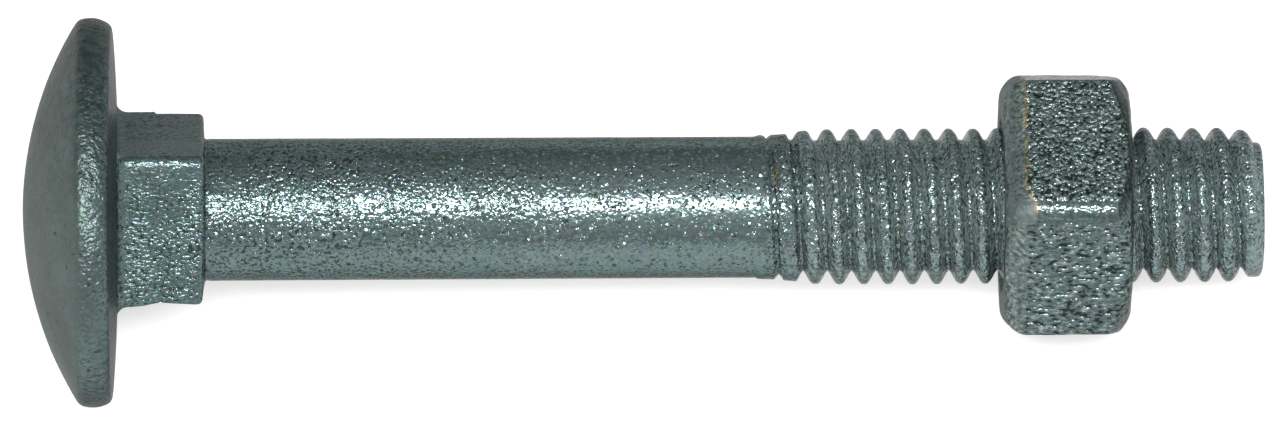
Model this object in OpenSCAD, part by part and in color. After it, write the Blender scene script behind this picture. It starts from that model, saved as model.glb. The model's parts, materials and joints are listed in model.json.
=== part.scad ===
// Carriage bolt with its hexagon nut, hot-dip galvanised, coarse metric thread.
// Millimetres. The bolt lies as it comes to rest, on the rim of its head and one flat of the nut.
// The origin is the centre of the bearing face under the head, and +Z is up.
// Each piece is drawn along its own +Z, with the bearing face under the head at height 0.

/* [Head] */
// Diameter over the rim of the head
head_d = 20; // [19.4:0.1:20.6]
// Height of the dome above the bearing face
head_height = 4.8; // [4.5:0.05:4.9]
// Spherical radius of the dome
dome_r = 18.4; // [17.2:0.1:19]
// How far the forged head sits off the axis of the shank
head_offset = 0.1; // [0:0.01:0.2]
// Direction of that offset round the axis, in degrees from straight down
head_offset_turn = 300; // [0:5:360]
// Outer diameter of the flat ring that bears on the work
land_d = 13.6; // [13:0.1:14.4]
// Angle at which the underside falls away outside that ring
relief_angle = 3.6; // [2:0.1:4.4]

/* [Square neck] */
// Width of the square across its flats
neck_w = 8.05; // [7.6:0.05:8.5]
// Length of the square under the head
neck_length = 4.55; // [4.4:0.05:5.6]
// Radius along the four long corners
neck_corner_r = 0.45; // [0.3:0.05:1]
// Radius that blends the square into the head
neck_fillet_r = 0.6; // [0.4:0.05:0.7]
// Radius over the end of the square
neck_end_r = 0.35; // [0.2:0.05:0.5]
// Turn of the square about the bolt axis, in degrees
neck_turn = 45; // [0:1:90]
// Height of the small step that the forging dies leave round the square
neck_step_at = 2; // [1.4:0.1:3]
// How far the square stands out below that step
neck_step = 0.08; // [0.02:0.02:0.14]

/* [Shank and thread] */
// Length from the bearing face to the tip
bolt_length = 58.9; // [57:0.1:61]
// Diameter of the plain shank, which is the rolled thread's pitch diameter
shank_d = 7.24; // [7.1:0.02:7.4]
// Length from the bearing face to the first trace of the thread
plain_length = 32.95; // [31:0.05:35]
// Pitch of the thread
pitch = 1.25; // [1.2:0.05:1.3]
// Diameter over the thread's crests
major_d = 7.96; // [7.8:0.02:8]
// Diameter in the thread's roots
root_d = 6.74; // [6.68:0.02:6.84]
// Length over which the rolled thread rises out of the shank
runout_length = 2.6; // [2:0.1:4]
// Height of a crest on the downward side, at a whole number of pitches from the others
crest_at = 34.85; // [34:0.01:36]
// Diameter of the plain point at the tip
point_d = 6.6; // [6.4:0.05:6.6]
// Radius round the edge of the tip
point_edge_r = 0.5; // [0.2:0.1:0.8]

/* [Nut] */
// Width across the flats
nut_flats = 13.1; // [12.95:0.05:13.4]
// Thickness, face to face
nut_height = 6.55; // [6.1:0.05:6.8]
// Distance from the head's bearing face to the nut's
grip = 45.45; // [43:0.05:48]
// Diameter of the round bearing face inside its chamfer
nut_face_d = 11.9; // [11.6:0.1:12.3]
// Angle of the bearing side's chamfer against the face
nut_chamfer = 30; // [20:1:35]
// Diameter of the round face at the far side
nut_top_d = 12; // [11.8:0.1:12.8]
// Angle of the far side's chamfer against its face
nut_top_chamfer = 38; // [30:1:50]
// Width across the slightly rounded corners
nut_corners = 14.9; // [14.8:0.05:15.1]
// Diameter of the hole, clear of the bolt's crests
nut_bore_d = 8.12; // [8.1:0.02:8.3]
// Diameter of the countersink at each face
nut_sink_d = 8.9; // [8.6:0.1:9.2]

/* [Smoothness] */
// Flat sides in one turn of the thread
thread_sides = 30; // [24:2:32]

/* [Hidden] */
zinc = [0.38, 0.43, 0.42];
$fn = 72;

head_r = head_d / 2;
shank_r = shank_d / 2;
major_r = major_d / 2;
root_r = root_d / 2;
point_r = point_d / 2;
land_r = land_d / 2;
apothem = nut_flats / 2;

// The rim is a barrel between two tighter corners, given by where its widest circle lies.
rim_at = -1.25;
rim_barrel_r = 2.2;
rim_low_r = 0.45;
rim_high_r = 0.55;

// Centres of the dome's and the barrel's arcs, in the half section: radius, then height.
dome_c = [0, dome_r - head_height];
barrel_c = [head_r - rim_barrel_r, rim_at];

// The low corner touches the barrel from inside, and the sloped underside.
under_normal = 90 - relief_angle;
under_gap = (barrel_c - [land_r, 0]) * [cos(under_normal), sin(under_normal)];
low_angle = under_normal - acos((-rim_low_r - under_gap) / (rim_barrel_r - rim_low_r));
low_c = barrel_c + (rim_barrel_r - rim_low_r) * [cos(low_angle), sin(low_angle)];

// The high corner touches the barrel and the dome, both from inside: two sides of a triangle
// are known, and the third is the distance between their centres.
high_side = rim_barrel_r - rim_high_r;
dome_side = dome_r - rim_high_r;
base = norm(dome_c - barrel_c);
high_bend = acos((high_side^2 + base^2 - dome_side^2) / (2 * high_side * base));
high_angle = atan2(dome_c[1] - barrel_c[1], dome_c[0] - barrel_c[0]) - high_bend;
high_c = barrel_c + high_side * [cos(high_angle), sin(high_angle)];
dome_angle = atan2(high_c[1] - dome_c[1], high_c[0] - dome_c[0]);

// Steps in the fillet under the head, round the end of the neck, and along its long corners.
fillet_steps = 5;
end_steps = 3;
corner_steps = 4;
// Radial size of the small fillet between the neck and the shank.
shank_fillet = 0.12;
// How far a sunk end reaches into the piece that covers it, and how far a seam stands clear.
sunk = 0.12;
seam = 0.02;
// Height over which the step round the neck comes down.
step_run = 0.12;

// The plane that the head's rim and the nut's far edge both touch, against the bolt axis.
nut_edge_drop = (apothem - nut_top_d / 2) * tan(nut_top_chamfer);
nut_edge_at = grip + nut_height - nut_edge_drop;
head_drop = head_offset * cos(head_offset_turn);
rest_tilt = atan((head_r + head_drop - apothem) / (nut_edge_at - rim_at));

// One turn of the thread's outline: how far along the pitch, and how high between root and crest.
thread_outline = [[-0.08, 1], [0.08, 1], [0.25, 0.6], [0.42, 0], [0.58, 0], [0.75, 0.6]];

// The points of an arc about centre c, from angle a0 to a1 in n steps, without its first.
function arc(c, r, a0, a1, n) =
    [for (i = [1:n]) let (a = a0 + (a1 - a0) * i / n) c + r * [cos(a), sin(a)]];

// 0 before the first edge, 1 after the second, and a smooth rise between.
function ramp(a, b, x) = let (t = min(1, max(0, (x - a) / (b - a)))) t * t * (3 - 2 * t);

// ---- outlines ----

// Half section of the head: dome, high corner, barrel, low corner, sloped underside, land.
module head_outline() {
    polygon(concat(
        [[0, 0], [0, -head_height]],
        arc(dome_c, dome_r, -90, dome_angle, 16),
        arc(high_c, rim_high_r, dome_angle, high_angle, 6),
        arc(barrel_c, rim_barrel_r, high_angle, low_angle, 5),
        arc(low_c, rim_low_r, low_angle, under_normal, 6),
        [[land_r, 0]]
    ));
}

// ---- the bolt ----

module head() {
    rotate(head_offset_turn)
        translate([head_offset, 0, 0])
            rotate_extrude() head_outline();
}

// One section of the neck at height z: a rounded square whose sides stand out by grow.
function neck_section(z, grow) =
    let (corner_r = max(0.1, neck_corner_r + grow),
         corner_c = neck_w / 2 + grow - corner_r)
    [for (i = [0:3], k = [0:corner_steps])
        let (a = 90 * (i + k / corner_steps), c = 90 * i + 45)
        [corner_c * sqrt(2) * cos(c) + corner_r * cos(a),
         corner_c * sqrt(2) * sin(c) + corner_r * sin(a), z]];

// The square neck, lofted through its sections: fillet into the head, step, sides, rounded end.
module neck() {
    sections = concat(
        [neck_section(-sunk, neck_step + neck_fillet_r)],
        [for (i = [0:fillet_steps]) let (a = 90 * i / fillet_steps)
            neck_section(seam + neck_fillet_r * (1 - cos(a)),
                         neck_step + neck_fillet_r * (1 - sin(a)))],
        [neck_section(neck_step_at, neck_step), neck_section(neck_step_at + step_run, 0)],
        [for (i = [0:end_steps]) let (a = 90 * i / end_steps)
            neck_section(neck_length - neck_end_r * (1 - sin(a)), -neck_end_r * (1 - cos(a)))]
    );
    count = len(sections[0]);
    rows = len(sections);
    rotate(neck_turn)
        polyhedron(
            points = [for (ring = sections, q = ring) q],
            faces = concat(
                [[for (k = [0:count - 1]) k]],
                [for (i = [0:rows - 2], k = [0:count - 1])
                    let (next = (k + 1) % count)
                    [i * count + k, (i + 1) * count + k,
                     (i + 1) * count + next, i * count + next]],
                [[for (k = [count - 1:-1:0]) (rows - 1) * count + k]]
            )
        );
}

// The plain shank, with a small fillet where it leaves the neck.
module shank() {
    cylinder(r = shank_r, h = plain_length);
    translate([0, 0, neck_length - seam])
        cylinder(r1 = shank_r + shank_fillet, r2 = shank_r, h = 2 * shank_fillet);
}

// The thread's crest and root radii at height z: both rise out of the shank, and die at the tip.
function crest_radius(z) =
    let (start = shank_r - sunk + (major_r - shank_r + sunk)
                 * ramp(plain_length - 0.3, plain_length + runout_length, z),
         tip = major_r - 1.6 * pow(max(0, z - (bolt_length - 2.4)) / 2.4, 3))
    min(start, tip);
function root_radius(z) =
    shank_r - sunk - (shank_r - sunk - root_r) * ramp(plain_length, plain_length + pitch, z);

// A point of the thread's surface. Past the last height the surface closes in on the axis.
thread_low = plain_length - 1;
thread_high = bolt_length - 0.35;
function thread_point(z, height, angle) =
    let (past = max(0, z - thread_high),
         root = root_radius(z),
         crest = max(root, crest_radius(z)),
         r = min(root + (crest - root) * height, past > 0 ? point_r - sunk : major_r) - past)
    [r * cos(angle), r * sin(angle), min(z, thread_high) + past * 0.1];

// The threaded length: one outline swept along a right-hand helix.
module thread() {
    marks = len(thread_outline);
    first = crest_at + pitch * floor((thread_low - pitch - crest_at) / pitch);
    turns = ceil((thread_high - first) / pitch) + 1;
    rows = turns * marks + 1;
    points = [for (j = [0:thread_sides - 1], i = [0:rows - 1])
        let (mark = thread_outline[i % marks],
             z = first + pitch * (floor(i / marks) + mark[0] + j / thread_sides))
        thread_point(z, mark[1], 360 * j / thread_sides)];
    foot = len(points);
    tip = foot + 1;
    // Index of row i in column j, which runs on into the first column one turn higher.
    function at(i, j) = j < thread_sides ? j * rows + i : i + marks;
    sides = [for (j = [0:thread_sides - 1],
                  i = [0:(j < thread_sides - 1 ? rows : rows - marks) - 2])
        [at(i, j), at(i + 1, j), at(i + 1, j + 1), at(i, j + 1)]];
    foot_rim = concat([for (j = [0:thread_sides]) at(0, j)],
                      [for (i = [marks - 1:-1:0]) at(i, 0)]);
    tip_rim = concat([for (j = [0:thread_sides - 1]) at(rows - 1, j)],
                     [for (i = [rows - 2:-1:rows - 1 - marks]) at(i, thread_sides - 1)],
                     [at(rows - 1, 0)]);
    polyhedron(
        points = concat(points, [[0, 0, first], [0, 0, thread_high + 0.1]]),
        faces = concat(
            [for (q = sides) [q[0], q[1], q[2]]],
            [for (q = sides) [q[0], q[2], q[3]]],
            [for (k = [0:len(foot_rim) - 2]) [foot, foot_rim[k], foot_rim[k + 1]]],
            [for (k = [0:len(tip_rim) - 2]) [tip, tip_rim[k + 1], tip_rim[k]]]
        )
    );
}

// The plain point past the last turn of the thread.
module point() {
    low = bolt_length - 1.6;
    rotate_extrude()
        polygon(concat(
            [[0, low], [point_r, low], [point_r, bolt_length - point_edge_r]],
            arc([point_r - point_edge_r, bolt_length - point_edge_r], point_edge_r, 0, 90, 6),
            [[0, bolt_length]]
        ));
}

module bolt() {
    color(zinc)
        in_place() {
            head();
            neck();
            shank();
            thread();
            point();
        }
}

// ---- the nut ----

// Half section of the nut's outside: the two chamfers, and the corners between them.
module nut_outline() {
    face_r = nut_face_d / 2;
    top_r = nut_top_d / 2;
    corner_r = nut_corners / 2;
    low = (corner_r - face_r) * tan(nut_chamfer);
    high = nut_height - (corner_r - top_r) * tan(nut_top_chamfer);
    polygon([
        [0, 0], [face_r, 0], [corner_r, low], [corner_r, high], [top_r, nut_height],
        [0, nut_height]
    ]);
}

// The hole, with a countersink at each face.
module nut_hole() {
    sink = (nut_sink_d - nut_bore_d) / 2;
    translate([0, 0, -1]) cylinder(d = nut_bore_d, h = nut_height + 2);
    translate([0, 0, -seam])
        cylinder(d1 = nut_sink_d + 2 * seam, d2 = nut_bore_d, h = sink + seam);
    translate([0, 0, nut_height - sink])
        cylinder(d1 = nut_bore_d, d2 = nut_sink_d + 2 * seam, h = sink + seam);
}

module nut() {
    color(zinc)
        in_place()
            translate([0, 0, grip])
                difference() {
                    intersection() {
                        rotate(30)
                            cylinder(r = apothem / cos(30), h = nut_height, $fn = 6);
                        rotate_extrude() nut_outline();
                    }
                    nut_hole();
                }
}

// Lays a piece down with its axis along +X, tipped onto the head's rim and the nut's flat.
module in_place() {
    rotate([0, 90 + rest_tilt, 0]) children();
}

bolt();
nut();
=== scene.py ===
import json
import math

import bpy
import numpy as np
from mathutils import Matrix, Vector, noise


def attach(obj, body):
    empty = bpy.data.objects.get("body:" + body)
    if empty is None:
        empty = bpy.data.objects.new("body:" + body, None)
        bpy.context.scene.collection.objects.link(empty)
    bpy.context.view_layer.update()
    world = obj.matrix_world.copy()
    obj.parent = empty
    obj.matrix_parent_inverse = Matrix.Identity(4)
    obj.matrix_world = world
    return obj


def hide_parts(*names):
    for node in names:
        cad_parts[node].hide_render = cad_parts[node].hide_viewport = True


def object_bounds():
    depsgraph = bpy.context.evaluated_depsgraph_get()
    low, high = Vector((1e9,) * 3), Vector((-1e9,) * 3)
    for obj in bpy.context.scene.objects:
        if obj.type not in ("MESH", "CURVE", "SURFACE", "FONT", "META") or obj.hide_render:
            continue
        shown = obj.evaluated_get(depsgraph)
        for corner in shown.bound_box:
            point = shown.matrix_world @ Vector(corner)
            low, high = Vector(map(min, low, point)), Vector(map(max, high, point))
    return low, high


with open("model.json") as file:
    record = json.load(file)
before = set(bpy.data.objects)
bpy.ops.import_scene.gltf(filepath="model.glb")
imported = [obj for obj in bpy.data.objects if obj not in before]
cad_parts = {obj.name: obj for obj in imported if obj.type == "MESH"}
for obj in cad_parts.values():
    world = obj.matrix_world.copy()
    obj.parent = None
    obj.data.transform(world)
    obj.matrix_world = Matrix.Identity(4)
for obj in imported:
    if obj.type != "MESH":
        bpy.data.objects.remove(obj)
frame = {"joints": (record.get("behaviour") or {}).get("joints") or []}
cad_lo, cad_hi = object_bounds()

# The part's own frame, in millimetres: Z along the bolt from its bearing face to its tip, X down,
# Y as in the row frame. Angles round the axis run from X towards Y.
axis = Vector(frame["joints"][0]["axis"]).normalized()
side = Vector((0, 1, 0))
down = side.cross(axis)
TO_ROW = np.array([down, side, axis]) * 0.001
dip = math.asin(-axis.z)

PITCH = 1.25
CREST_AT = 34.85        # height of a crest on the downward side
GRIP = 45.45            # from the bearing face to the nut
NUT_HEIGHT = 6.55
NEAR_SIDE = 208.0       # angle round the axis that faces the camera
UP_IN_VIEW = 118.0      # angle round the axis that the photograph shows at the top


# ---- small tools ----

def lumps(points, size, seed):
    """Smooth noise at each point, about -1 to 1, with features of that size in mm."""
    shift = Vector((seed * 7.31, seed * 3.77, seed * 5.13))
    return np.array([noise.noise(Vector(p) / size + shift) for p in points])


def smooth(a, b, x):
    t = np.clip((np.asarray(x, float) - a) / (b - a), 0, 1)
    return t * t * (3 - 2 * t)


def near(angle, centre, width):
    """1 at the centre angle, falling to 0 at width degrees from it."""
    off = np.abs((np.degrees(angle) - centre + 180) % 360 - 180)
    return 1 - smooth(0, width, off)


def polar(r, angle, z):
    r, angle, z = np.broadcast_arrays(np.asarray(r, float), angle, z)
    return np.stack([r * np.cos(angle), r * np.sin(angle), z], axis=-1)


def rounded(half, corner, sides, angle, first):
    """Distance from the axis of a regular polygon with rounded corners, a corner at angle first."""
    step = 2 * math.pi / sides
    off = np.abs((angle - first + step / 2) % step - step / 2)      # from the nearest corner
    reach = (half - corner) / math.cos(step / 2)
    bend = np.sqrt(np.maximum(corner ** 2 - (reach * np.sin(off)) ** 2, 0))
    arc = reach * np.cos(off) + bend
    flat = half / np.cos(step / 2 - off)
    # The arc ends where its own normal is the side's.
    on_arc = reach * np.sin(off) < corner * np.sin(step / 2 - off) + 1e-9
    return np.where(on_arc, np.minimum(arc, flat), flat)


def zip_columns(counts, keys):
    """Triangles between neighbouring columns of points, each column's keys rising along it."""
    starts = np.concatenate([[0], np.cumsum(counts)])
    faces = []
    for j in range(len(counts)):
        k = (j + 1) % len(counts)
        a, b, ka, kb = 0, 0, keys[j], keys[k]
        while a < counts[j] - 1 or b < counts[k] - 1:
            last_a, last_b = a == counts[j] - 1, b == counts[k] - 1
            if last_b or (not last_a and ka[a + 1] + ka[a] <= kb[b + 1] + kb[b]):
                faces.append((starts[j] + a, starts[k] + b, starts[j] + a + 1))
                a += 1
            else:
                faces.append((starts[j] + a, starts[k] + b, starts[k] + b + 1))
                b += 1
    return faces


def normals_of(points, faces):
    """Unit vertex normals, weighted by face area."""
    points, faces = np.asarray(points), np.asarray(faces)
    a, b, c = (points[faces[:, i]] for i in range(3))
    n = np.cross(b - a, c - a)
    out = np.zeros_like(points)
    for i in range(3):
        np.add.at(out, faces[:, i], n)
    return out / np.maximum(np.linalg.norm(out, axis=1, keepdims=True), 1e-12)


def make_piece(name, points, faces):
    """A smooth-shaded object from points in the part's frame."""
    mesh = bpy.data.meshes.new(name)
    mesh.from_pydata((np.asarray(points) @ TO_ROW).tolist(), [],
                     [tuple(map(int, f)) for f in faces])
    mesh.validate()
    mesh.update()
    mesh.shade_smooth()
    made = bpy.data.objects.new(name, mesh)
    bpy.context.scene.collection.objects.link(made)
    return made


# ---- the thread ----

CREST_POWER = 0.52      # lower makes the crests fuller
ROOT_CUT = 0.12         # share of the wave that the flat root cuts off
TOOTH = 0.76            # height of the whole wave over its root


def thread_phase(z, angle):
    """Distance to the nearest crest in pitches, -0.5 to 0.5."""
    turns = (z - CREST_AT) / PITCH - angle / (2 * math.pi)
    return (turns + 0.5) % 1 - 0.5


def thread_shape(phase, power=CREST_POWER):
    """1 on the crest, 0 in the root, with the round crests of a rolled and galvanised thread."""
    wave = (0.5 + 0.5 * np.cos(2 * math.pi * phase)) ** power
    return np.clip((wave - ROOT_CUT) / (1 - ROOT_CUT), 0, 1)


def softer(a, b, width):
    """The greater of two heights, with the corner between them rounded off."""
    h = np.clip(0.5 + 0.5 * (a - b) / width, 0, 1)
    return b * (1 - h) + a * h + width * h * (1 - h)


def bolt_radius(z, angle):
    """Radius of the shank and its thread."""
    shank = 3.65 - 0.02 * (z - 5) / 28      # a slight taper
    root = np.interp(
        z,
        [32.3, 32.8, 33.4, 34.0, 34.6, 35.3, 46, 52, 57.0, 57.8, 58.9],
        [3.64, 3.60, 3.50, 3.45, 3.36, 3.28, 3.28, 3.23, 3.21, 3.09, 3.06],
    )
    # The first turns are shallow grooves with flat land between them, and the last one is cut
    # short.
    land = np.interp(
        z,
        [32.75, 32.95, 33.4, 33.9, 34.3, 34.8, 35.2, 35.7, 36.6, 37.6],
        [3.63, 3.70, 3.715, 3.74, 3.77, 3.82, 3.90, 3.96, 3.99, 4.01],
    )
    # On the near side the first of that land rises gently out of the shank.
    gentle = near(angle, NEAR_SIDE, 75) * (z < 33.4)
    land = land + gentle * (np.interp(z, [32.6, 33.4], [3.628, 3.715]) - land)
    # Past the nut the turns are a little fatter, and lie a hair further on.
    far = smooth(48, 54, z)
    phase = thread_phase(z - 0.035 * far, angle)
    land = np.minimum(land, np.interp(z - PITCH * phase, [57.2, 57.8, 58.4, 59.0],
                                      [4.01, 3.97, 3.75, 3.08]))
    power = CREST_POWER - 0.10 * far - 0.10 * smooth(56.4, 57.2, z)
    thread = root + 0.02 * far + TOOTH * thread_shape(phase, power)
    thread = -softer(-thread, -land, 0.08)
    # Zinc that ran together fills the roots on one side.
    fill = root + smooth(33, 35.5, z) * (0.02 + 0.12 * np.cos(angle - math.radians(UP_IN_VIEW)))
    thread = softer(thread, fill, 0.06)
    start = 32.6 + 0.3 * near(angle, NEAR_SIDE, 75)
    return shank + (thread - shank) * smooth(start, start + 0.2, z)


# ---- the bolt ----

COLUMNS = 176
angles = np.arange(COLUMNS) * 2 * math.pi / COLUMNS
HEAD_OFFSET, HEAD_OFFSET_TURN = 0.1, math.radians(300)
head_at = HEAD_OFFSET * np.array([math.cos(HEAD_OFFSET_TURN), math.sin(HEAD_OFFSET_TURN), 0])
DOME_R, HEAD_HEIGHT = 18.4, 4.79
LAND_R, RELIEF = 6.8, 0.0629            # the flat ring, and the slope of the underside past it
NECK_HALF, NECK_CORNER, NECK_END, NECK_EDGE = 4.02, 0.47, 4.54, 0.3
NECK_FILLET, SHANK_FILLET = 0.6, 0.125
TIP_EDGE = 58.60                        # where the tip's edge starts to turn in
TIP_ROUND, TIP_RISE = 0.40, 0.25        # how far it turns in, and rises


def arc(centre, r, start, stop, count):
    """Points of an arc in the half section, from one angle in degrees to another."""
    a = np.radians(np.linspace(start, stop, count + 1)[1:])
    return [(centre[0] + r * math.cos(t), centre[1] + r * math.sin(t)) for t in a]


def head_rows():
    """Rings of the head from the top of its dome, over the rim, to the flat ring below."""
    dome = [(r, DOME_R - HEAD_HEIGHT - math.sqrt(DOME_R ** 2 - r ** 2))
            for r in np.linspace(0, 9.68, 44)[1:]]
    outline = (
        dome
        # The rim is a barrel between two tighter corners.
        + arc((9.408, -1.552), 0.55, -58.1, -10.9, 7)
        + arc((7.788, -1.25), 2.2, -10.9, 21.2, 9)
        + arc((9.419, -0.616), 0.45, 21.2, 86.4, 6)
        # The underside falls away outside the flat ring.
        + [(r, (r - LAND_R) * -RELIEF) for r in np.linspace(9.2, LAND_R, 10)]
        + [(6.45, 0.0), (6.1, 0.0)]
    )
    # The forging isn't quite round, nor square to its shank. Seen from the camera the rim is slack
    # at the top, full at the foot and rolled back on the near side, and the whole head leans.
    slack = 0.07 * near(angles, UP_IN_VIEW, 100)
    full = 0.05 * near(angles, 300, 29) - 0.018
    roll = 0.07 * near(angles, 200, 100)
    lean = 0.2 * np.cos(angles - math.radians(NEAR_SIDE))
    sag = 0.07 * near(angles, 300, 90)
    rows = []
    for r, z in outline:
        grow = full - slack * smooth(-1.1, -0.3, z) - roll * (z + 1.35)
        drop = lean * smooth(4, 9.4, r) + sag * smooth(-0.9, -0.5, z)
        if z >= -1:
            drop = drop * smooth(6.4, 7.0, r)       # none on the flat ring
        rows.append(polar(r + grow * smooth(8.5, 9.5, r), angles, z - drop) + head_at)
    return rows


def neck_ring(z, grow):
    """One section of the square neck, grown outwards by that much. Points crowd at its corners."""
    a = angles - 0.55 / 4 * np.sin(4 * angles)
    # The corner in view is a little rounder than the others.
    corner = np.maximum(0.12, NECK_CORNER + grow + 0.08 * near(a, 180, 40))
    r = rounded(NECK_HALF + grow, corner, 4, a, 0.0)
    # What the forging left: a step near the upper corner, a taper and a nick at the lower one.
    step_at = 1.95
    upper = (0.06 + 0.10 * (1 - smooth(step_at, step_at + 0.15, z))
             + 0.03 * (1 - smooth(0.0, 0.12, np.abs(z - step_at))))
    lower = np.interp(z, [0.6, 1.3, 1.8, 2.2, 2.45, 3.0, 4.2],
                      [0.07, 0.01, -0.09, -0.16, -0.14, -0.10, -0.06])
    nick = -0.09 * (1 - smooth(0.0, 0.1, np.abs(z - 2.27)))
    r = r + upper * near(a, 90, 38) + lower * near(a, 270, 40) + nick * near(a, 270, 9)
    # A faint ridge runs along the near flat, and the end is cut back at the lower corner.
    ridge = 0.02 * near(a, 200.3, 5)
    end = 0.13 * smooth(3.4, 4.2, z) * near(a, 270, 50)
    return polar(r + ridge, a, z - end)


def neck_rows():
    """Rings from the fillet under the head to the fillet onto the shank."""
    foot = neck_ring(0.0, NECK_FILLET)
    land = polar(6.1, angles, 0.0) + head_at
    rows = [land + (foot - land) * k / 5 for k in range(1, 5)]
    rows += [neck_ring(NECK_FILLET * (1 - math.cos(a)), NECK_FILLET * (1 - math.sin(a)))
             for a in np.radians(np.linspace(0, 90, 7))]
    # The rings crowd together at the forging step.
    heights = np.concatenate([np.linspace(0.72, 1.8, 7), np.linspace(1.9, 2.5, 9),
                              np.linspace(2.65, NECK_END - 0.34, 10)])
    rows += [neck_ring(z, 0.0) for z in heights]
    rows += [neck_ring(NECK_END - NECK_EDGE * (1 - math.sin(a)), -NECK_EDGE * (1 - math.cos(a)))
             for a in np.radians(np.linspace(15, 90, 6))]
    # The end face is crowned by a hair.
    shank_r = 3.635
    rim = neck_ring(NECK_END, -NECK_EDGE)
    shank = polar(shank_r + SHANK_FILLET, angles, NECK_END)
    rows += [rim + (shank - rim) * t + [0, 0, 0.01 * math.sin(math.pi * t)]
             for t in (0.2, 0.4, 0.6, 0.8, 1.0)]
    rows += [polar(shank_r + SHANK_FILLET * (1 - math.sin(a)), angles,
                   NECK_END + SHANK_FILLET * (1 - math.cos(a)))
             for a in np.radians([35, 65, 90])]
    return rows


def tip_rows():
    """Rings over the edge of the tip and across its sheared end."""
    edge = bolt_radius(np.full(COLUMNS, TIP_EDGE), angles)
    inner = edge - TIP_ROUND
    rows = []
    for a in np.radians([18, 36, 54, 72, 90]):
        rows.append(polar(inner + TIP_ROUND * math.cos(a), angles,
                          TIP_EDGE + TIP_RISE * math.sin(a)))
    for share in (0.94, 0.85, 0.74, 0.62, 0.5, 0.38, 0.26, 0.14):
        rows.append(polar(inner * share, angles, TIP_EDGE + TIP_RISE))
    return rows


def make_bolt():
    before = head_rows() + neck_rows()
    after = tip_rows()
    plain_end = 32.1        # the thread's first trace starts past it
    plain = np.arange(NECK_END + 0.3, plain_end, 0.2)
    per_turn = 10
    columns, keys = [], []
    for j, angle in enumerate(angles):
        # Past the plain shank the rings follow the helix, so that the crests stay clean.
        shear = PITCH * j / COLUMNS
        first = math.ceil((plain_end + 0.15 - CREST_AT - shear) / PITCH * per_turn)
        count = int((TIP_EDGE - 0.02 - CREST_AT - shear) / PITCH * per_turn) - first + 1
        helix = CREST_AT + shear + PITCH / per_turn * (first + np.arange(count))
        z = np.concatenate([plain, helix])
        middle = polar(bolt_radius(z, np.full(len(z), angle)), angle, z)
        columns.append(np.concatenate([
            np.array([row[j] for row in before]), middle, np.array([row[j] for row in after])]))
        # Rings before and after the helix keep their own order.
        keys.append(np.concatenate([
            np.arange(len(before)) - 1000.0, z, 1000.0 + np.arange(len(after))]))
    counts = [len(c) for c in columns]
    points = np.concatenate(columns)
    faces = zip_columns(counts, keys)
    starts = np.concatenate([[0], np.cumsum(counts)])[:-1]
    ends = starts + np.array(counts) - 1
    top, tip = len(points), len(points) + 1
    points = np.concatenate([points, [head_at + [0, 0, -HEAD_HEIGHT],
                                      [0, 0, TIP_EDGE + TIP_RISE + 0.01]]])
    for j in range(COLUMNS):
        k = (j + 1) % COLUMNS
        faces.append((top, starts[k], starts[j]))
        faces.append((tip, ends[j], ends[k]))
    faces = np.asarray(faces)[:, ::-1]      # outwards
    n = normals_of(points, faces)
    z = points[:, 2]
    radius = np.linalg.norm(points[:, :2], axis=1)
    # The zinc coat and the forging under it: broad waves everywhere, lumps on neck and thread.
    head = 1 - smooth(-0.3, 0.3, z)
    neck = smooth(-0.1, 0.6, z) * (1 - smooth(4.5, 4.8, z))
    thread = smooth(32.5, 34.5, z)
    rim = smooth(-2.1, -1.7, z) * (1 - smooth(-0.6, -0.1, z)) * smooth(8.8, 9.4, radius)
    shank = np.clip(1 - head - neck - thread, 0, 1)
    move = (
        head * 0.012 * lumps(points, 2.5, 1)
        + rim * 0.020 * lumps(points, 0.9, 2)
        + neck * (0.022 * lumps(points * [1, 1, 0.6], 0.9, 3) + 0.02 * lumps(points, 2.0, 4))
        + shank * 0.006 * lumps(points, 1.2, 5)
        + thread * (0.016 * lumps(points, 0.6, 6) + 0.014 * lumps(points, 1.6, 7))
    )
    points = points + n * move[:, None]
    return make_piece("Carriage_bolt", points, faces)


# ---- the nut ----

NUT_COLUMNS = 288
FIRST_CORNER = math.radians(30)
NEAR_CORNER = 210.0     # degrees; the corner between the two flats in view
NUT_HALF, NUT_FACE_R = 6.56, 5.66
SINK_R, MINOR_R, MAJOR_R = 4.45, 3.5, 4.08      # the countersinks and the internal thread
CONE_DEPTH = 1.65       # how far down the flats the far side's cone is looked for
FOOT = 0.18             # height of the rounded foot of that cone
CONE_BLEND = 0.25       # width over which cone and flat run together


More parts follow.
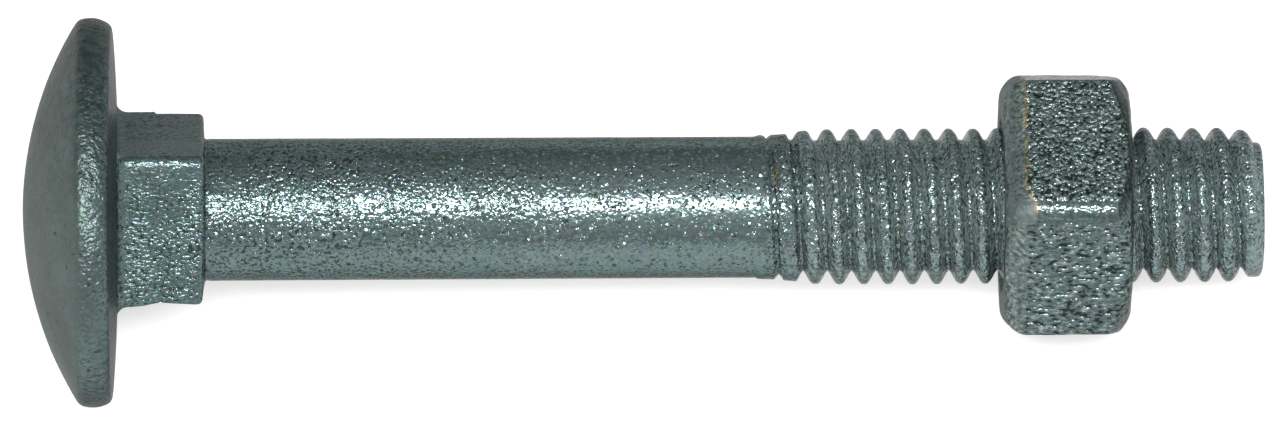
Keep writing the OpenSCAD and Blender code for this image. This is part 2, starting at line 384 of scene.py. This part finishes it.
def make_nut():
    plain = np.arange(NUT_COLUMNS) * 2 * math.pi / NUT_COLUMNS
    a = plain - 0.5 / 6 * np.sin(6 * (plain - FIRST_CORNER))    # crowded at the corners
    off = np.abs((a - FIRST_CORNER + math.pi / 6) % (math.pi / 3) - math.pi / 6)
    middle = smooth(0.0, math.pi / 6, off)      # 1 at the middle of a flat, 0 at a corner

    def hexagon(z):
        half = NUT_HALF - 0.004 * z
        corner = 0.28 + 0.02 * z + 0.55 * near(a, NEAR_CORNER, 30)
        return rounded(half, corner, 6, a, FIRST_CORNER)

    rows = []
    # The bearing side: a round face whose edge rolls over to the flats.
    bevel = 1.20 + 0.35 * middle
    power = 2.2 - 0.95 * middle
    for u in 1 - np.cos(np.linspace(0, math.pi / 2, 13)[1:]):
        g = (1 - (1 - u) ** power) ** (1 / power)
        z = bevel * u
        rows.append(polar(NUT_FACE_R + (hexagon(z) - NUT_FACE_R) * g, a, z))
    # The far side: a cone a little off centre cuts a curve into each flat, and its foot is rounded.
    lean = 0.4 * np.cos(a - math.radians(NEAR_SIDE))

    def far_radius(d):
        """The outline at depth d below the far face: the lesser of cone and flat."""
        foot = 5.3 + 1.3 * math.sqrt(1 - (0.917 - min(d, FOOT) / 1.2) ** 2)
        cone = foot + 1.3 * max(0.0, d - FOOT) + lean * min(1.0, d / FOOT)
        return -softer(-cone, -hexagon(NUT_HEIGHT - d), CONE_BLEND)

    for t in np.linspace(0, 1, 13)[1:]:
        z = bevel + (NUT_HEIGHT - CONE_DEPTH - bevel) * t
        rows.append(polar(hexagon(z), a, z))
    for d in np.concatenate([np.linspace(CONE_DEPTH, 0.24, 26)[1:], [FOOT, 0.12, 0.07, 0.03, 0.0]]):
        rows.append(polar(far_radius(d), a, NUT_HEIGHT - d))
    for r in np.linspace(5.82, SINK_R, 6)[1:]:
        rows.append(polar(r, a, NUT_HEIGHT))
    # The hole: countersinks and the internal thread, in step with the bolt's.
    for z in np.linspace(NUT_HEIGHT, 0, 66)[1:-1]:
        thread = MINOR_R + (MAJOR_R - MINOR_R) * thread_shape(thread_phase(GRIP + z, a))
        sink = SINK_R - 0.9 * min(z, NUT_HEIGHT - z)
        rows.append(polar(np.maximum(thread, sink), a, z))
    for r in np.linspace(SINK_R, NUT_FACE_R, 8):
        rows.append(polar(r, a, 0.0))
    count = len(rows)
    points = np.concatenate(rows) + [0, 0, GRIP]
    faces = []
    for i in range(count):
        for j in range(NUT_COLUMNS):
            k, m = (j + 1) % NUT_COLUMNS, (i + 1) % count
            p, q, r, s = (i * NUT_COLUMNS + j, i * NUT_COLUMNS + k,
                          m * NUT_COLUMNS + k, m * NUT_COLUMNS + j)
            faces += [(p, q, r), (p, r, s)]
    n = normals_of(points, faces)
    radius = np.linalg.norm(points[:, :2], axis=1)
    # The zinc coat is lumpy outside, and left even in the hole.
    outside = smooth(4.6, 5.6, radius)
    move = outside * (0.022 * lumps(points, 0.8, 11) + 0.015 * lumps(points, 2.2, 12) - 0.008)
    points = points + n * move[:, None]
    # The nut hangs a little to one side in the play of the thread.
    shift = 0.05 * smooth(4.3, 5.0, radius)
    points = points + polar(shift, math.radians(UP_IN_VIEW), 0.0)
    return make_piece("Hex_nut", points, faces)


bolt = make_bolt()
nut = make_nut()
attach(bolt, "bolt")
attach(nut, "nut")
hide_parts("bolt")
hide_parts("nut")


# ---- materials ----

class Shader:
    """Builds one material or world from nodes."""

    def __init__(self, owner):
        owner.use_nodes = True
        self.tree = owner.node_tree
        self.tree.nodes.clear()

    def add(self, kind, inputs=None, **settings):
        """A node, with its inputs linked to sockets or set to values."""
        made = self.tree.nodes.new("ShaderNode" + kind)
        for name, value in settings.items():
            setattr(made, name, value)
        for name, value in (inputs or {}).items():
            if isinstance(value, bpy.types.NodeSocket):
                self.tree.links.new(value, made.inputs[name])
            else:
                made.inputs[name].default_value = value
        return made

    def math(self, operation, a, b=0.0, c=0.0):
        return self.add("Math", {0: a, 1: b, 2: c}, operation=operation).outputs[0]

    def times(self, *values):
        """Their product."""
        made = values[0]
        for value in values[1:]:
            made = self.math("MULTIPLY", made, value)
        return made

    def fma(self, a, b, c):
        """a * b + c"""
        return self.math("MULTIPLY_ADD", a, b, c)

    def vector(self, operation, a, b):
        """Vector Math with a second vector, or a scale."""
        second = "Scale" if operation == "SCALE" else 1
        return self.add("VectorMath", {0: a, second: b}, operation=operation).outputs[0]

    def noise(self, vector, size, detail, rough):
        """Noise about 0 to 1, with features of that size in the vector's units."""
        made = self.add("TexNoise", {"Vector": vector, "Scale": 1 / size, "Detail": detail,
                                     "Roughness": rough})
        return made.outputs["Fac"]

    def spread(self, value, low, high, to_low=0.0, to_high=1.0):
        """A smooth step from to_low, where value is low, to to_high, where it is high."""
        made = self.add("MapRange", {"Value": value, "From Min": low, "From Max": high,
                                     "To Min": to_low, "To Max": to_high},
                        interpolation_type="SMOOTHSTEP")
        return made.outputs["Result"]

    def between(self, value, start, full, last, end):
        """1 from full to last, and 0 before start and past end."""
        return self.times(self.spread(value, start, full), self.spread(value, end, last))

    def ramp(self, value, low, high, stops):
        """A colour or grey that changes along value, given at places between low and high."""
        place = self.add("MapRange", {"Value": value, "From Min": low, "From Max": high})
        made = self.add("ValToRGB", {"Fac": place.outputs["Result"]})
        points = made.color_ramp.elements
        while len(points) > 1:
            points.remove(points[-1])
        for i, (at, colour) in enumerate(stops):
            if not isinstance(colour, tuple):
                colour = (colour,) * 3
            at = (at - low) / (high - low)
            point = points[0] if i == 0 else points.new(at)
            point.position = at
            point.color = (*colour, 1)
        return made.outputs["Color"]

    def mix(self, share, a, b, kind="MIX"):
        """Colour a where share is 0, and colour b blended with it where share is 1."""
        made = self.add("Mix", data_type="RGBA", blend_type=kind)
        for name, value in (("Factor", share), ("A", a), ("B", b)):
            sockets = [s for s in made.inputs if s.name == name and s.enabled]
            if isinstance(value, bpy.types.NodeSocket):
                self.tree.links.new(value, sockets[0])
            else:
                sockets[0].default_value = value if name == "Factor" else (*value, 1)[:4]
        return [s for s in made.outputs if s.enabled][0]

    def along(self, scale=(1, 1, 1)):
        """Millimetres in the part's frame, with X along the bolt and Z away from the floor."""
        place = self.add("TexCoord").outputs["Object"]
        turned = self.add("Mapping", {"Vector": place, "Rotation": (0, -dip, 0),
                                      "Scale": (1000, 1000, 1000)})
        if scale == (1, 1, 1):
            return turned.outputs["Vector"]
        return self.add("Mapping", {"Vector": turned.outputs["Vector"], "Scale": scale}
                        ).outputs["Vector"]

    def places(self):
        """The same millimetres, as a vector, as X, Y and Z, and as the distance from the axis."""
        place = self.along()
        x, y, z = self.add("SeparateXYZ", {0: place}).outputs
        return place, x, y, z, self.math("SQRT", self.fma(y, y, self.times(z, z)))


# Painted shade: the colour that darkens the pits and valleys of the coat.
VALLEY_SHADE_COLOUR = (0.020, 0.030, 0.030)        # in the pits and valleys of the coat


def zinc(s, place, colour, rough, metal, wrinkle, grit, speck, ridge, shadow, facets, share,
         grains, pit=0.30, swell=None):
    """Galvanised zinc: a wrinkled coat, scattered small pimples, painted shade in its pits and
    valleys and painted highlight on its ridges.

    Heights are in mm: wrinkle, grit and speck of the waves and two sizes of pimple, and swell of
    broad waves. Each of grains is how far, in what scale and in what size other waves replace the
    plain ones. pit says how much of the surface is pitted and darkened with painted shade, ridge
    how strong the painted highlight on the ridges is, shadow how dark the painted shade in the
    valleys is, facets how far crystals tilt, and share how many of them do.
    """
    waves = s.noise(place, 0.19, 1, 0.4)
    for part, scale, size in grains:
        other = s.noise(s.along(scale), size, 1, 0.45)
        waves = s.math("ADD", s.times(waves, s.math("SUBTRACT", 1.0, part)), s.times(other, part))
    height = s.times(waves, wrinkle)
    for size, much in ((0.38, grit), (0.20, speck)):
        cell = s.add("TexVoronoi", {"Vector": place, "Scale": 1 / size})
        chosen = s.spread(s.add("SeparateColor", {0: cell.outputs["Color"]}).outputs[0], 0.35, 0.6)
        dot = s.times(s.spread(cell.outputs["Distance"], 0.0, 0.40, 1.0, 0.0), chosen)
        height = s.math("ADD", height, s.times(dot, much))
    broad = s.noise(place, 0.42, 2, 0.6)
    hole = s.spread(broad, pit - 0.04, pit + 0.05, 1.0, 0.0)
    if swell is not None:
        height = s.math("ADD", height, s.times(broad, swell))
    height = s.fma(hole, -0.03, height)
    # Frosty crystals here and there, each tilted its own way, catch the lamp one by one.
    crystal = s.add("TexVoronoi", {"Vector": place, "Scale": 1 / 0.14}).outputs["Color"]
    pick = s.math("FRACT", s.times(s.add("SeparateColor", {0: crystal}).outputs[0], 9.7))
    facets = s.times(facets, s.math("LESS_THAN", pick, share))
    tilt = s.vector("SCALE", s.vector("SUBTRACT", crystal, (0.5, 0.5, 0.5)), facets)
    tilted = s.vector("ADD", s.add("NewGeometry").outputs["Normal"], tilt)
    tilted = s.add("VectorMath", {0: tilted}, operation="NORMALIZE").outputs[0]
    bump = s.add("Bump", {"Height": height, "Distance": 0.001, "Strength": 1.0, "Normal": tilted})
    # Painted shade in the valleys and pits, painted highlight on the ridges, and faintly tinted in
    # patches.
    valley_shade = s.times(s.spread(waves, 0.35, 0.47, 1.0, 0.0), s.spread(wrinkle, 0.0, 0.13))
    shade = s.math("MAXIMUM", s.times(valley_shade, shadow), s.times(hole, 0.75))
    colour = s.mix(shade, colour, VALLEY_SHADE_COLOUR)
    colour = s.mix(s.times(s.spread(waves, 0.54, 0.72), ridge), colour, (0.38, 0.46, 0.46))
    tint = s.add("TexNoise", {"Vector": place, "Scale": 5.0, "Detail": 1.0}).outputs["Color"]
    colour = s.mix(0.3, colour, tint, "OVERLAY")
    shader = s.add("BsdfPrincipled", {"Base Color": colour, "Metallic": metal, "Roughness": rough,
                                      "Specular IOR Level": 0.5,
                                      "Specular Tint": (0.12, 0.12, 0.12, 1),
                                      "Normal": bump.outputs[0]})
    s.add("OutputMaterial", {"Surface": shader.outputs[0]})


def bolt_material():
    m = bpy.data.materials.new("Galvanised_zinc_bolt")
    s = Shader(m)
    place, x, y, z, radius = s.places()
    upward = s.fma(z, 0.469, s.times(y, 0.883))         # towards the top of the photograph
    on_rim = s.between(x, -2.2, -1.8, -0.6, -0.3)
    on_neck = s.between(x, 0.2, 0.5, 4.5, 4.9)
    on_runout = s.between(x, 33.3, 33.6, 35.4, 36.2)

    def along_bolt(*stops):
        return s.ramp(x, -6.0, 60.0, stops)

    # The coat is dull on the dome, coarse on rim and neck, smoother down the shank, and coarse
    # again on the thread.
    # The thread's colour is paler than the shank's: painted light that offsets the shade between
    # its turns.
    colour = along_bolt((-2.2, (0.088, 0.113, 0.108)), (-1.7, (0.080, 0.112, 0.111)),
                        (-0.3, (0.080, 0.112, 0.111)), (0.3, (0.098, 0.148, 0.147)),
                        (4.6, (0.098, 0.148, 0.147)), (5, (0.109, 0.159, 0.159)),
                        (34, (0.112, 0.160, 0.160)), (35.4, (0.172, 0.230, 0.229)),
                        (59, (0.169, 0.230, 0.230)))
    wrinkle = along_bolt((-2.2, 0.014), (-1.7, 0.05), (-0.3, 0.06), (0.3, 0.09), (4.5, 0.09),
                         (5, 0.095), (12, 0.09), (20, 0.055), (26, 0.03), (33.2, 0.025),
                         (33.6, 0.10))
    grit = along_bolt((-2.2, 0.010), (-1.7, 0.012), (4.5, 0.008), (5, 0.030), (14, 0.045),
                      (22, 0.055), (33, 0.055), (35, 0.040))
    speck = along_bolt((-0.3, 0.0), (0.3, 0.022), (4.5, 0.022), (5, 0.040), (14, 0.040),
                       (24, 0.030), (33.2, 0.030), (33.6, 0.045))
    rough = along_bolt((-2.2, 0.52), (-1.7, 0.36), (-0.5, 0.36), (4.5, 0.20), (5, 0.17),
                       (14, 0.17), (20, 0.19), (33, 0.20), (33.6, 0.15), (35, 0.135), (59, 0.14))
    metal = along_bolt((-2.2, 0.45), (-1.7, 0.75))
    facets = along_bolt((-2.2, 0.0), (-1.7, 0.15), (-0.3, 0.2), (0.3, 0.4), (4.6, 0.4), (5, 0.6),
                        (14, 0.8), (24, 1.1))
    share = along_bolt((14, 0.20), (24, 0.15), (33.2, 0.15), (33.6, 0.45), (59, 0.36))
    # How strong the painted highlight on the ridges is, and how dark the painted shade in the
    # valleys is.
    ridge = along_bolt((5, 0.0), (14, 0.06), (24, 0.10), (34, 0.10), (35.4, 0.18))
    shadow = along_bolt((34, 0.9), (35.4, 0.65))

    # The flanks of the thread are duller than its crests and roots.
    flank = s.spread(s.math("ABSOLUTE", s.math("SUBTRACT", radius, 3.62)), 0.26, 0.12)
    metal = s.fma(s.times(flank, s.spread(x, 34.8, 35.6)), -0.30, metal)
    # The coat is rougher and paler in patches.
    patches = s.noise(place, 2.4, 3, 0.6)
    wrinkle = s.times(wrinkle, s.spread(patches, 0.3, 0.7, 0.55, 1.4))
    colour = s.mix(s.spread(patches, 0.40, 0.64, 0.0, 0.3), colour, (0.145, 0.200, 0.199))
    # The upper edge of the neck is smoother, and shines.
    edge = s.times(s.spread(y, -1.6, -0.6), s.spread(z, 3.2, 4.0))
    calm = s.fma(s.times(edge, on_neck), -0.45, 1.0)
    wrinkle, speck = s.times(wrinkle, calm), s.times(speck, calm)
    # Painted shade darkens the upper side of the head, in blotches.
    head_top_shade = s.times(s.spread(s.noise(place, 0.6, 3, 0.65), 0.40, 0.62, 0.15, 1.0),
                     s.spread(upward, -6.0, 9.0), s.spread(x, -0.2, -0.6))
    colour = s.mix(s.times(head_top_shade, 0.75), colour, (0.030, 0.050, 0.046))
    # A rusty speck in the first groove of the thread.
    stain = s.times(s.between(x, 33.6, 33.75, 33.9, 34.05), s.between(upward, 0.8, 1.3, 1.8, 2.3),
                    s.spread(s.noise(place, 0.25, 1, 0.5), 0.40, 0.60, 0.1, 0.75))
    colour = s.mix(stain, colour, (0.21, 0.19, 0.10))
    zinc(s, place, colour, rough, metal, wrinkle, grit, speck, ridge=ridge, shadow=shadow,
         facets=facets, share=share, swell=s.times(on_rim, 0.15),
         grains=((on_neck, (0.7, 1, 1), 0.16), (s.times(on_runout, 0.5), (1.8, 0.8, 0.7), 0.2)))
    return m


def nut_material():
    m = bpy.data.materials.new("Galvanised_zinc_nut")
    s = Shader(m)
    place, x, y, z, radius = s.places()
    towards = s.fma(z, 0.883, s.times(y, -0.469))       # towards the camera
    lower = s.spread(z, 6.35, 5.6)                      # the lower of the two flats in view
    # The near corner, between those two flats. The bearing side's bevel widens there.
    across = s.math("ABSOLUTE", s.fma(z, 0.5, s.times(y, 0.866)))
    corner = s.times(s.spread(across, 1.3, 0.2), s.spread(towards, 5.0, 6.0))
    inside = s.fma(corner, -0.45, x)
    # The flats end at that bevel's line, and at the curves that the far side's cone cuts, which
    # are where the distance from the far face is the cone's own.
    cone = s.fma(towards, -0.4 / 6.8 / 1.3, s.fma(radius, 1 / 1.3, 0.18 - 6.13 / 1.3))
    past_cone = s.math("SUBTRACT", s.math("SUBTRACT", GRIP + NUT_HEIGHT, x), cone)
    flat = s.times(s.spread(inside, GRIP + 1.0, GRIP + 1.2), s.spread(past_cone, -0.15, 0.1))
    # The flats are coarse, the upper one more so. The corner between them is smooth, and shines.
    edge = s.times(s.spread(across, 0.75, 0.45), s.spread(towards, 5.0, 6.0))
    wrinkle = s.fma(flat, s.spread(lower, 0.0, 1.0, 0.11, 0.10), 0.07)
    wrinkle = s.times(wrinkle, s.fma(edge, -0.70, 1.0))
    grit = s.times(flat, s.spread(lower, 0.0, 1.0, 0.040, 0.004), s.math("SUBTRACT", 1.0, edge))
    speck = s.times(flat, s.spread(lower, 0.0, 1.0, 0.045, 0.008), s.fma(edge, -0.8, 1.0))
    rough = s.times(s.spread(flat, 0.0, 1.0, s.fma(corner, 0.28, 0.44), 0.21),
                    s.fma(s.times(edge, flat), -0.4, 1.0))
    # The bevels are dull, and their colour is paler: painted light that brightens them, mottled in
    # patches.
    bevel = s.mix(s.spread(s.noise(place, 0.5, 3, 0.6), 0.35, 0.65), (0.105, 0.140, 0.135),
                  (0.160, 0.202, 0.198))
    # The lower flat is painted darker than the upper one: painted shade on the same zinc.
    flats_lower_shaded = s.mix(lower, (0.109, 0.153, 0.150), (0.092, 0.132, 0.131))
    colour = s.mix(flat, bevel, flats_lower_shaded)
    # Where the far bevel meets a flat a dark line of painted shade marks the crease, and at the
    # bearing side there is a brown line.
    crease_shade = s.times(s.spread(s.math("ABSOLUTE", past_cone), 0.14, 0.04),
                     s.spread(lower, 1.0, 0.2, 0.1, 0.8))
    colour = s.mix(crease_shade, colour, (0.020, 0.030, 0.028))
    stain = s.times(s.between(inside, GRIP + 0.85, GRIP + 1.05, GRIP + 1.1, GRIP + 1.3),
                    s.spread(s.noise(place, 0.3, 2, 0.6), 0.40, 0.6, 0.1, 1.0),
                    s.spread(z, 6.2, 6.5, 0.0, 0.8))
    colour = s.mix(stain, colour, (0.36, 0.31, 0.17))
    # The ridges get painted highlight, more on the lower flat, and the valleys full painted shade.
    zinc(s, place, colour, rough, 0.7, wrinkle, grit, speck, pit=0.24,
         ridge=s.fma(lower, 0.35, 0.15), shadow=1.0, facets=s.times(flat, s.fma(edge, -0.75, 0.8)),
         share=s.spread(lower, 0.0, 1.0, 0.30, 0.04), grains=((lower, (0.50, 1, 1), 0.18),))
    return m


bolt.data.materials.append(bolt_material())
nut.data.materials.append(nut_material())


# ---- floor, light and camera ----

def seen_directly(s):
    """1 for camera, glossy and transmission rays."""
    path = s.add("LightPath").outputs
    either = s.math("MAXIMUM", path["Is Camera Ray"], path["Is Glossy Ray"])
    return s.math("MAXIMUM", either, path["Is Transmission Ray"])


def make_floor():
    mesh = bpy.data.meshes.new("Studio_floor")
    z = cad_lo.z - 0.00002      # a hair under the part
    size = 6.0
    mesh.from_pydata([(-size, -size, z), (size, -size, z), (size, size, z), (-size, size, z)],
                     [], [(0, 1, 2, 3)])
    floor = bpy.data.objects.new("Studio_floor", mesh)
    bpy.context.scene.collection.objects.link(floor)
    m = bpy.data.materials.new("Pale_floor")
    s = Shader(m)
    matt = s.add("BsdfDiffuse", {"Color": (0.55, 0.55, 0.55, 1)})
    white = s.add("Emission", {"Color": (1, 1, 1, 1), "Strength": s.times(seen_directly(s), 0.62)})
    both = s.add("AddShader", {0: matt.outputs[0], 1: white.outputs[0]})
    s.add("OutputMaterial", {"Surface": both.outputs[0]})
    mesh.materials.append(m)


def make_world():
    world = bpy.data.worlds.new("Studio")
    bpy.context.scene.world = world
    s = Shader(world)
    direction = s.add("SeparateXYZ", {0: s.add("TexCoord").outputs["Generated"]}).outputs
    # Degrees from the horizon on the photographer's side, over the top, to the horizon behind.
    forward = s.times(direction["Y"], -1.0)
    height = s.math("DEGREES", s.math("ARCTAN2", direction["Z"], forward))
    light = s.ramp(height, -90, 190, [(-90, 0.32), (2, 0.32), (20, 0.56), (45, 0.90), (78, 0.95),
                                      (95, 0.72), (115, 0.46), (140, 0.18), (165, 0.06)])
    background = s.add("Background", {"Color": light, "Strength": 1.0})
    s.add("OutputWorld", {"Surface": background.outputs[0]})


# The camera's own axes: back towards it, right and up in the picture.
AZIMUTH, ELEVATION, ROLL = (math.radians(v) for v in (-4.152, 62.165, -5.721))
back = Vector((-math.sin(AZIMUTH) * math.cos(ELEVATION), -math.cos(AZIMUTH) * math.cos(ELEVATION),
               math.sin(ELEVATION)))
right = Vector((0, 0, 1)).cross(back).normalized()
up = back.cross(right)
right, up = (math.cos(ROLL) * right + math.sin(ROLL) * up,
             -math.sin(ROLL) * right + math.cos(ROLL) * up)
aim = axis * 0.02706 - right * 0.00016 - up * 0.000405     # the middle of the picture
LENS = 520.16           # focal length in mm, for a 36 mm sensor
CAMERA_AWAY, LAMP_AWAY = 0.95, 0.9


def make_camera():
    data = bpy.data.cameras.new("Camera")
    data.lens, data.sensor_width = LENS, 36.0
    data.clip_start, data.clip_end = 0.05, 20.0
    camera = bpy.data.objects.new("Camera", data)
    bpy.context.scene.collection.objects.link(camera)
    turn = Matrix((right, up, back)).transposed()
    camera.matrix_world = Matrix.Translation(aim + back * CAMERA_AWAY) @ turn.to_4x4()
    bpy.context.scene.camera = camera


def make_lamp(name, place, width, height, power, colour):
    """A soft lamp as wide as the picture is, aimed at the middle of the object."""
    data = bpy.data.lights.new(name, "AREA")
    data.shape, data.size, data.size_y = "ELLIPSE", width, height
    data.energy, data.color = power, colour
    lamp = bpy.data.objects.new(name, data)
    bpy.context.scene.collection.objects.link(lamp)
    facing = (place - aim).normalized()
    across = (right - facing * right.dot(facing)).normalized()
    turn = Matrix((across, facing.cross(across), facing)).transposed()
    lamp.matrix_world = Matrix.Translation(place) @ turn.to_4x4()


make_floor()
make_world()
make_camera()
key = (back + up * math.tan(math.radians(6.0)) + right * 0.03).normalized()
make_lamp("Key", aim + key * LAMP_AWAY, 0.60, 0.16, 10.0, (1.0, 0.94, 0.92))

bpy.context.scene.view_settings.view_transform = "Standard"
